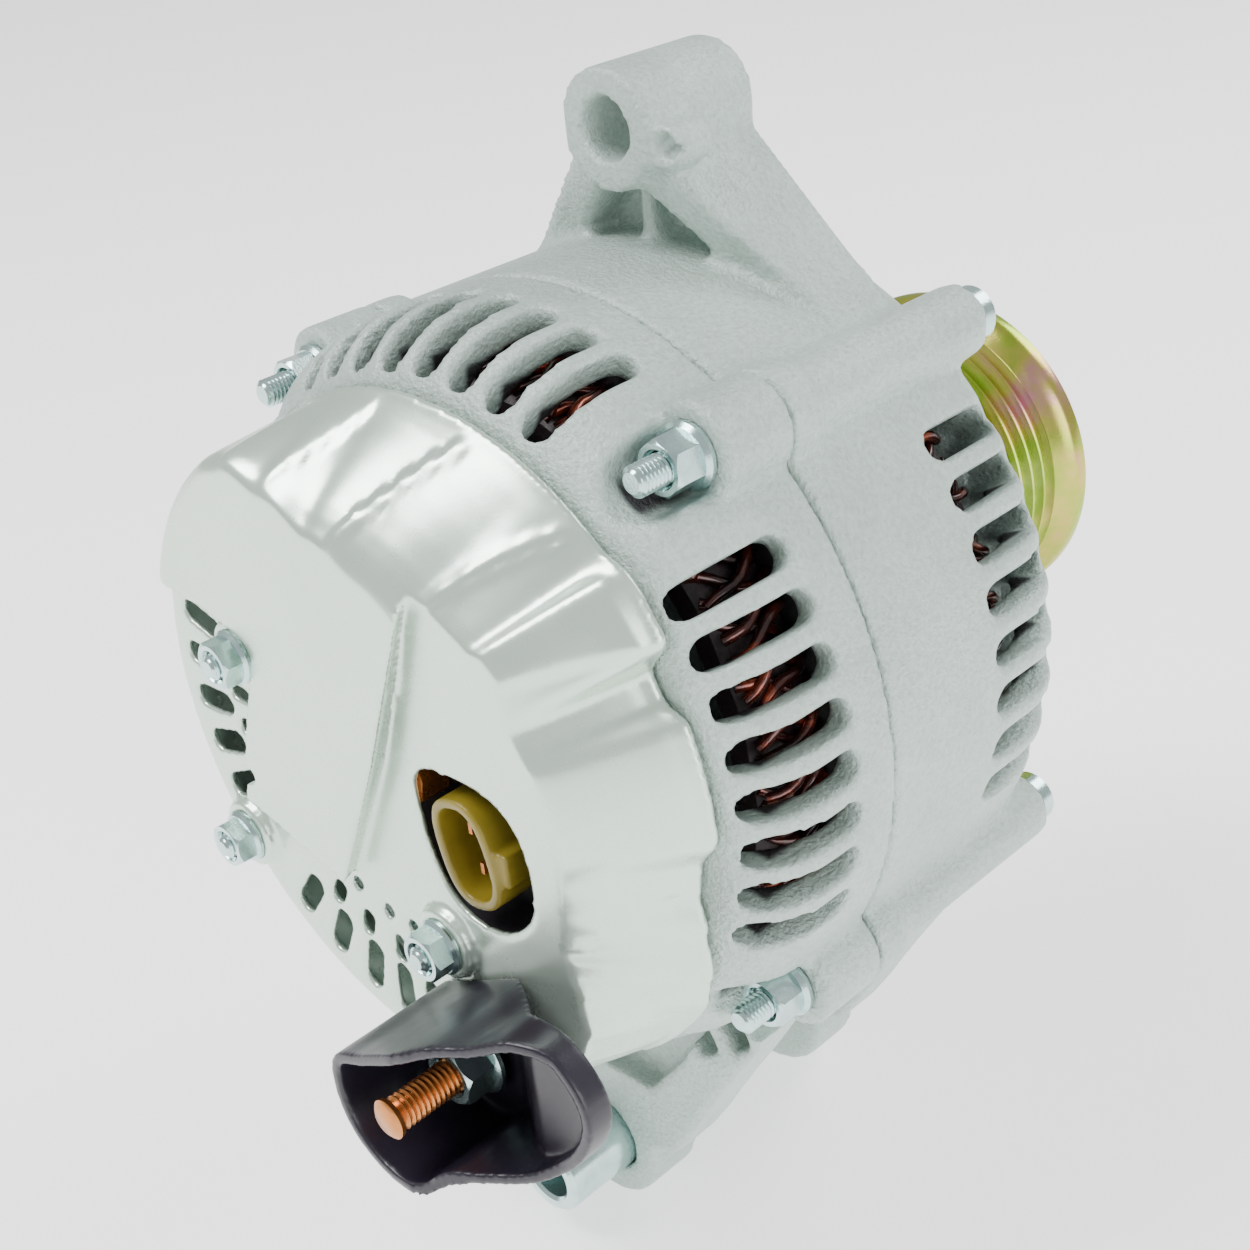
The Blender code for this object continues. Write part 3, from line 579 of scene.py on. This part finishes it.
def oval(angle, r0, r1, width, y0, y1):
    a = radians(angle + CLOCK)
    u, v, h = (cos(a), sin(a)), (-sin(a), cos(a)), width / 2
    points = []
    for r, t0 in ((r1, -90), (r0, 90)):
        for t in range(t0, t0 + 181, 20):
            d, s = h * cos(radians(t)), h * sin(radians(t))
            points.append((u[0] * (r + d) + v[0] * s, u[1] * (r + d) + v[1] * s))
    return prism(points, y0, y1)


COVER_NUTS = [clocked(-32.0, 13.6), clocked(-45.0, -25.0), clocked(9.0, -29.5)]
STEP = [(24.5, 38.5), (4.0, 2.4), (-13.2, -24.4), (-39.3, -15.4), (-34.1, -2.1), (-24.0, 17.0),
        (-34.0, 21.5), (-70.0, 30.0),
        (-70.0, -75.0), (75.0, -75.0), (75.0, 60.0), (38.0, 60.0)]
WINDOW = [(11.5, 2.4), (8.8, -0.6), (8.4, -6.0), (8.8, -12.0), (11.8, -20.0), (18.0, -23.6),
          (25.4, -22.8), (31.2, -18.4),
          (33.8, -12.0), (33.6, -4.6), (30.8, 0.2), (26.0, 2.6), (18.0, 3.4)]


def sunk_floor(x, z):
    """The sunk face lies deepest by the raised corner and rises towards the top of the fold."""
    along = ((x - 4.0) * 20.5 + (z - 2.4) * 36.1) / 1723.0
    return -48.0 - 2.2 * min(1.0, max(0.0, along))


def rear_cover():
    body = add("cover_shell", cover_loft(0.0, -51.7, -30.5))
    hollow = add("cover_hollow", cover_loft(1.6, -48.1, -29.0, 180))
    fold = [clocked(x, z) for x, z in STEP]
    foot = [clocked(x, z) for x, z in shrunk(STEP, -1.6)]
    csg(hollow, [(C, prism([clocked(x, z) for x, z in shrunk(STEP, -3.0)], -49.0, -46.6))])
    top = [(x, -52.5, z) for x, z in fold]
    low = [(x, sunk_floor(*STEP[k]), z) for k, (x, z) in enumerate(foot)]
    pads = [cylinder(x, z, 6.4, -50.1, -47.2) for x, z in COVER_NUTS]
    vents = [oval(a, 43.8, 50.4, 4.2, -60, -40) for a in (-201, -191, -181, -171, -161, -133, -122,
                                                          -111, -101, -91)]
    vents += [oval(a, 36.8, 39.4, 3.0, -60, -40) for a in (-186, -176, -165, -126, -114, -101)]
    vents += [oval(a, 31.0, 31.2, 2.6, -60, -40) for a in (-120, -105, -93)]
    csg(body, [
        (C, loft([top, low])),
        *[(J, pad) for pad in pads],
        (C, hollow),
        (C, [prism([clocked(x, z) for x, z in rounded(WINDOW)], -60, -40)]),
        (C, [cylinder(x, z, 3.0, -60, -40) for x, z in COVER_NUTS] + vents),
        (C, cylinder(*STUD, 5.6, -60, -40)),
    ])
    soften(body, 0.64, 3)
    placed(body, COVER, "frame", "cover_aluminium", "rear_cover")


# --------------------------------------------------------------- fasteners
def hex_nut(x, z, flat_r, y_low, y_high, bore, turn=0.0):
    """A hexagon with its outer end chamfered and a clear bore; y_low is its outer end."""
    tall = y_high - y_low
    body = add("hex", turned_shape([(0, y_low), (flat_r, y_low), (flat_r, y_high), (0, y_high)], 6, x,
                                   z, turn))
    tool = add("hex_chamfer", turned_shape(
        [(0, y_low), (flat_r * 0.86, y_low), (flat_r * 1.02, y_low + tall * 0.16),
         (flat_r * 1.02, y_high), (0, y_high)], 64, x, z))
    step = body.modifiers.new("chamfer", "BOOLEAN")
    step.operation, step.solver, step.object = "INTERSECT", "MANIFOLD", tool
    bpy.context.view_layer.update()
    bake(body)
    bpy.data.objects.remove(tool, do_unlink=True)
    csg(body, [(C, turned_shape([(0, y_low - 1), (bore + 1.0, y_low - 1), (bore, y_low + 0.8),
                                 (bore, y_high + 1), (0, y_high + 1)], 40, x, z))])
    return body


def threaded(x, z, r, y_tip, y_end, pitch=0.8, seg=32):
    """A bolt's end with real thread ridges and a bevelled tip; y_tip is the free end."""
    points = [(0, y_tip), (r - 0.9, y_tip), (r - 0.45, y_tip + 0.4)]
    y = y_tip + 0.5
    while y < y_end - pitch:
        points += [(r - 0.42, y), (r, y + pitch * 0.4), (r, y + pitch * 0.55), (r - 0.42, y + pitch * 0.95)]
        y += pitch
    return points + [(r, y_end), (0, y_end)]


def merge(name, things):
    """Several meshes as one object, with their own shapes kept."""
    build = bmesh.new()
    for thing in things:
        build.from_mesh(thing.data)
        bpy.data.objects.remove(thing, do_unlink=True)
    mesh = bpy.data.meshes.new(name)
    build.to_mesh(mesh)
    build.free()
    made = bpy.data.objects.new(name, mesh)
    bpy.context.scene.collection.objects.link(made)
    return made


def fasteners():
    for k, (x, z) in enumerate(BOLTS):
        turn = radians((12, 40, 21, 5)[k])
        profile = threaded(x, z, 2.5, -26.2, -13.0)[:-1]
        bolt = add(f"tie_rod_{k + 1}", turned_shape(profile + [(2.5, 50.3), (3.9, 50.4), (4.7, 51.0),
                                                            (4.7, 53.6), (4.0, 54.4), (0, 54.4)], 28, x,
                                                            z))
        placed(bolt, ZINC, "frame", "zinc_steel", f"tie_bolt_{k + 1}", sharp=35)
        flange = add("flange", turned_shape([(2.9, -14.3), (5.3, -14.3), (5.3, -15.0), (4.6, -15.7),
                                             (2.9, -15.7)], 48, x, z))
        nut = merge(f"flange_nut_{k + 1}", [hex_nut(x, z, 4.6, -20.8, -15.2, 2.7, turn), flange])
        placed(nut, ZINC, "frame", "zinc_steel", f"tie_nut_{k + 1}", sharp=28)
    for k, (x, z) in enumerate(COVER_NUTS):
        profile = threaded(x, z, 2.3, -55.6, REAR_FACE - 0.3)
        stud = add(f"cover_screw_{k + 1}", turned_shape(profile, 24, x, z))
        placed(stud, ZINC, "frame", "zinc_steel", f"cover_stud_{k + 1}", sharp=35)
        flange = add("flange", turned_shape([(2.6, -50.2), (5.0, -50.2), (5.0, -50.8), (4.4, -51.4),
                                             (2.6, -51.4)], 40, x, z))
        nut = merge(f"cover_flange_nut_{k + 1}",
                    [hex_nut(x, z, 4.5, -54.7, -51.0, 2.6, radians(10 + 23 * k)), flange])
        placed(nut, ZINC, "frame", "zinc_steel", f"cover_nut_{k + 1}", sharp=28)
    sleeve = add("sliding_bushing", turned_shape(
        [(5.1, -29.4), (5.7, -30.0), (7.3, -30.0), (8.0, -29.3), (8.0, -3.6), (7.8, -3.4),
         (5.1, -3.4)], 64, *LUG))
    placed(sleeve, ZINC, "frame", "zinc_steel", "mounting_bushing", sharp=30)
    nut = merge("output_flange_nut", [
        hex_nut(*STUD, 5.6, -59.5, -53.9, 3.3, radians(16)),
        add("flange", turned_shape([(3.3, -52.9), (6.4, -52.9), (6.4, -53.7), (5.4, -54.2),
                                    (3.3, -54.2)], 48, *STUD)),
    ])
    placed(nut, ZINC, "frame", "zinc_steel", "output_nut", sharp=28)
    points = threaded(*STUD, 3.0, -70.6, -58.0, 1.0)[3:-1]
    stud = add("output_post", turned_shape(
        [(0, -72.4), (2.6, -72.4), (3.5, -71.8), (3.4, -71.0), (2.5, -70.2), *points, (3.0, -34.0),
         (0, -34.0)], 32, *STUD))
    placed(stud, COPPER, "frame", "copper", "output_stud", sharp=35)


# ------------------------------------------------------------------ pulley
def pulley():
    grooves = []
    for k in range(6):
        y = 76.0 + 3.56 * k
        grooves += [(29.0, y), (29.2, y + 0.3), (26.6, y + 1.5), (26.4, y + 1.78), (26.6, y + 2.06),
                    (29.2, y + 3.26)]
    outline = [
        (8.8, 64.6), (14.6, 64.6), (15.0, 65.0), (15.0, 72.0), (24.0, 72.0), (24.0, 69.2), (24.4, 69.0),
        (31.2, 69.0),
        (31.9, 69.5), (32.2, 70.5), (31.8, 72.5), (30.0, 74.8), *grooves, (29.2, 97.36), (30.4, 98.6),
        (31.8, 99.8),
        (32.4, 101.2), (32.2, 103.4), (31.2, 104.2), (28.4, 104.2), (27.4, 103.8), (24.4, 98.0),
        (24.0, 88.0),
        (15.0, 86.0), (14.6, 97.2), (14.2, 97.6), (8.8, 97.6),
    ]
    made = add("ribbed_pulley", turned_shape(outline, 128))
    placed(made, YELLOW, "rotor", "yellow_zinc_steel", "pulley", sharp=32)


# ---------------------------------------------------------------- windings
WIRES, WIRE_STEPS = 84, 8


def wires(name, y_near, y_far):
    """Varnished hairpins that lean across the end turns, in two layers."""
    curve = bpy.data.curves.new(name, "CURVE")
    curve.dimensions = "3D"
    curve.bevel_depth = 0.92 * MM
    curve.bevel_resolution = 2
    curve.use_fill_caps = True
    for r, lean in ((57.6, 7.0), (58.9, -5.0)):
        for k in range(WIRES):
            start = 360 * k / WIRES + random.uniform(-0.7, 0.7)
            tilt = lean * random.uniform(0.75, 1.25)
            line = curve.splines.new("POLY")
            line.points.add(WIRE_STEPS)
            for i in range(WIRE_STEPS + 1):
                t = i / WIRE_STEPS
                swell = sin(pi * t)
                rr = r - 1.6 * (1 - swell) ** 2 + random.uniform(-0.12, 0.12)
                angle = radians(start + tilt * (t - 0.5) + 0.8 * sin(2 * pi * t + k))
                y = y_near + (y_far - y_near) * t
                line.points[i].co = (rr * cos(angle) * MM, (y - BELT_Y) * MM, rr * sin(angle) * MM, 1)
    made = bpy.data.objects.new(name, curve)
    bpy.context.scene.collection.objects.link(made)
    curve.materials.append(ENAMEL)
    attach(made, "frame")


# ----------------------------------------------------- boot and connector
BOOT = [
    (9.6, -37.4), (7.4, -41.4), (7.6, -48.0), (10.4, -53.6), (15.6, -57.2), (21.6, -58.4),
    (27.0, -57.0), (31.4, -53.2),
    (37.0, -51.6), (46.0, -48.6), (53.4, -42.0), (57.4, -34.4), (56.6, -28.0), (51.0, -22.6), (44.0, -22.0),
    (37.6, -24.6), (31.0, -26.4), (22.8, -30.6), (15.4, -34.6),
]


def rounded(outline, per=5):
    """A closed smooth curve through the outline's points."""
    n, out = len(outline), []
    for i in range(n):
        p0, p1, p2, p3 = (outline[(i + d) % n] for d in (-1, 0, 1, 2))
        for s in range(per):
            t = s / per
            out.append(tuple(
                0.5 * (2 * p1[c] + (p2[c] - p0[c]) * t + (2 * p0[c] - 5 * p1[c] + 4 * p2[c] - p3[c]) * t * t
                       + (3 * p1[c] - p0[c] - 3 * p2[c] + p3[c]) * t ** 3)
                for c in (0, 1)
            ))
    return out


def shrunk(outline, by):
    """The outline moved inwards, square to each point's neighbours."""
    n, out = len(outline), []
    for i, (x, z) in enumerate(outline):
        (ax, az), (bx, bz) = outline[i - 1], outline[(i + 1) % n]
        length = hypot(bx - ax, bz - az)
        out.append((x - (bz - az) / length * by, z + (bx - ax) / length * by))
    return out


def rim_y(x):
    """The boot's rim slopes from the stud's side to the cable's."""
    return -72.0 + 10.0 * min(1.0, max(0.0, (x - 26.0) / 24.0))


def base_y(x):
    """The boot's base rises off the cover towards the cable's side."""
    return -48.7 - 8.3 * min(1.0, max(0.0, (x - 30.0) / 12.0))


def boot():
    outer = rounded(BOOT)
    inner = shrunk(outer, 2.0)
    body = add("stud_boot", loft([[(x, rim_y(x), z) for x, z in outer],
                                  [(x, base_y(x), z) for x, z in outer]]))
    csg(body, [
        (C, loft([[(x, -80.0, z) for x, z in inner], [(x, base_y(x) - 2.6, z) for x, z in inner]])),
        (C, cylinder(*STUD, 3.4, -60, -45)),
    ])
    soften(body, 0.5, 4)
    placed(body, RUBBER, "frame", "black_plastic", "terminal_boot")


def oval_outline(x, z, half_x, half_z, tilt, seg=48, power=0.75):
    points, t = [], radians(tilt)
    for k in range(seg):
        a = 2 * pi * k / seg
        u = half_x * abs(cos(a)) ** power * (1 if cos(a) > 0 else -1)
        v = half_z * abs(sin(a)) ** power * (1 if sin(a) > 0 else -1)
        points.append((x + u * cos(t) + v * sin(t), z - u * sin(t) + v * cos(t)))
    return points


def connector():
    centre, tilt = (20.4, -8.0), -14
    body = add("plug_socket", prism(oval_outline(*centre, 6.6, 9.6, tilt), -49.0, -39.0))
    csg(body, [
        (J, block(24.0, 29.0, -48.0, -40.0, -11.5, -5.5)),
        (C, prism(oval_outline(*centre, 5.0, 8.0, tilt), -55.0, -41.0)),
        (C, [block(x - 0.8, x + 0.8, -43.0, -30.0, z - 1.4, z + 1.4) for x,
             z in ((19.6, -4.6), (21.2, -11.4))]),
    ])
    soften(body, 0.35, 3)
    placed(body, OLIVE, "frame", "olive_plastic", "connector_shell")
    mouth = rounded([clocked(x, z) for x, z in WINDOW])
    well = add("socket_surround", prism(shrunk(mouth, -1.6), -46.7, -38.5))
    csg(well, [(C, prism(shrunk(mouth, -0.4), -50.0, -38.95))])
    placed(well, BLACK, "frame", "black_plastic", sharp=40)


def brush_springs():
    """Each brush spring's mesh, copied as a coil of its own in the spring's place."""
    for node, joint in (("brush_spring_1", "brush_a_slide"), ("brush_spring_2", "brush_b_slide")):
        coil = bpy.data.objects.new(f"coil_for_{joint[:7]}", bpy.data.objects[node].data.copy())
        coil.matrix_world = bpy.data.objects[node].matrix_world.copy()
        bpy.context.scene.collection.objects.link(coil)
        placed(coil, STEEL, "frame", "zinc_steel", node, smooth=False)
        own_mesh(coil)


rear_housing()
drive_end_housing()
rear_cover()
fasteners()
pulley()
wires("rear_end_wires", -7.0, -20.0)
wires("front_end_wires", 25.0, 38.4)
boot()
connector()
brush_springs()

# ------------------------------------------------------------ floor, light
def make_floor(low, half=6.0):
    """A plain pale floor just under the object."""
    mesh = bpy.data.meshes.new("floor")
    corners = [(-half, -half, low), (half, -half, low), (half, half, low), (-half, half, low)]
    mesh.from_pydata(corners, [], [(0, 1, 2, 3)])
    floor = bpy.data.objects.new("floor", mesh)
    bpy.context.scene.collection.objects.link(floor)
    white = bpy.data.materials.new("floor_white")
    white.use_nodes = True
    sockets = white.node_tree.nodes["Principled BSDF"].inputs
    sockets["Base Color"].default_value = (0.93, 0.93, 0.93, 1)
    sockets["Roughness"].default_value = 0.8
    sockets["Emission Color"].default_value = (1, 1, 1, 1)
    sockets["Emission Strength"].default_value = 1.0
    mesh.materials.append(white)


def softbox(name, place, size, watts):
    """A square light aimed at the housings."""
    data = bpy.data.lights.new(name, "AREA")
    data.shape, data.size, data.energy = "SQUARE", size, watts
    lamp = bpy.data.objects.new(name, data)
    lamp.location = place
    aim = Vector((0, -0.08, 0)) - Vector(place)
    lamp.rotation_euler = aim.to_track_quat("-Z", "Y").to_euler()
    bpy.context.scene.collection.objects.link(lamp)


def make_sky():
    world = bpy.context.scene.world or bpy.data.worlds.new("studio")
    bpy.context.scene.world = world
    world.use_nodes = True
    sockets = world.node_tree.nodes["Background"].inputs
    sockets["Color"].default_value = (0.97, 1.0, 0.98, 1)
    sockets["Strength"].default_value = 0.62


make_floor(cad_box[0][2] - 0.0006)
make_sky()
softbox("key", (-0.35, -0.55, 1.0), 0.55, 15)
softbox("fill", (0.95, -0.2, 0.25), 0.6, 5)
softbox("rim", (0.3, 0.9, 0.8), 0.6, 9)
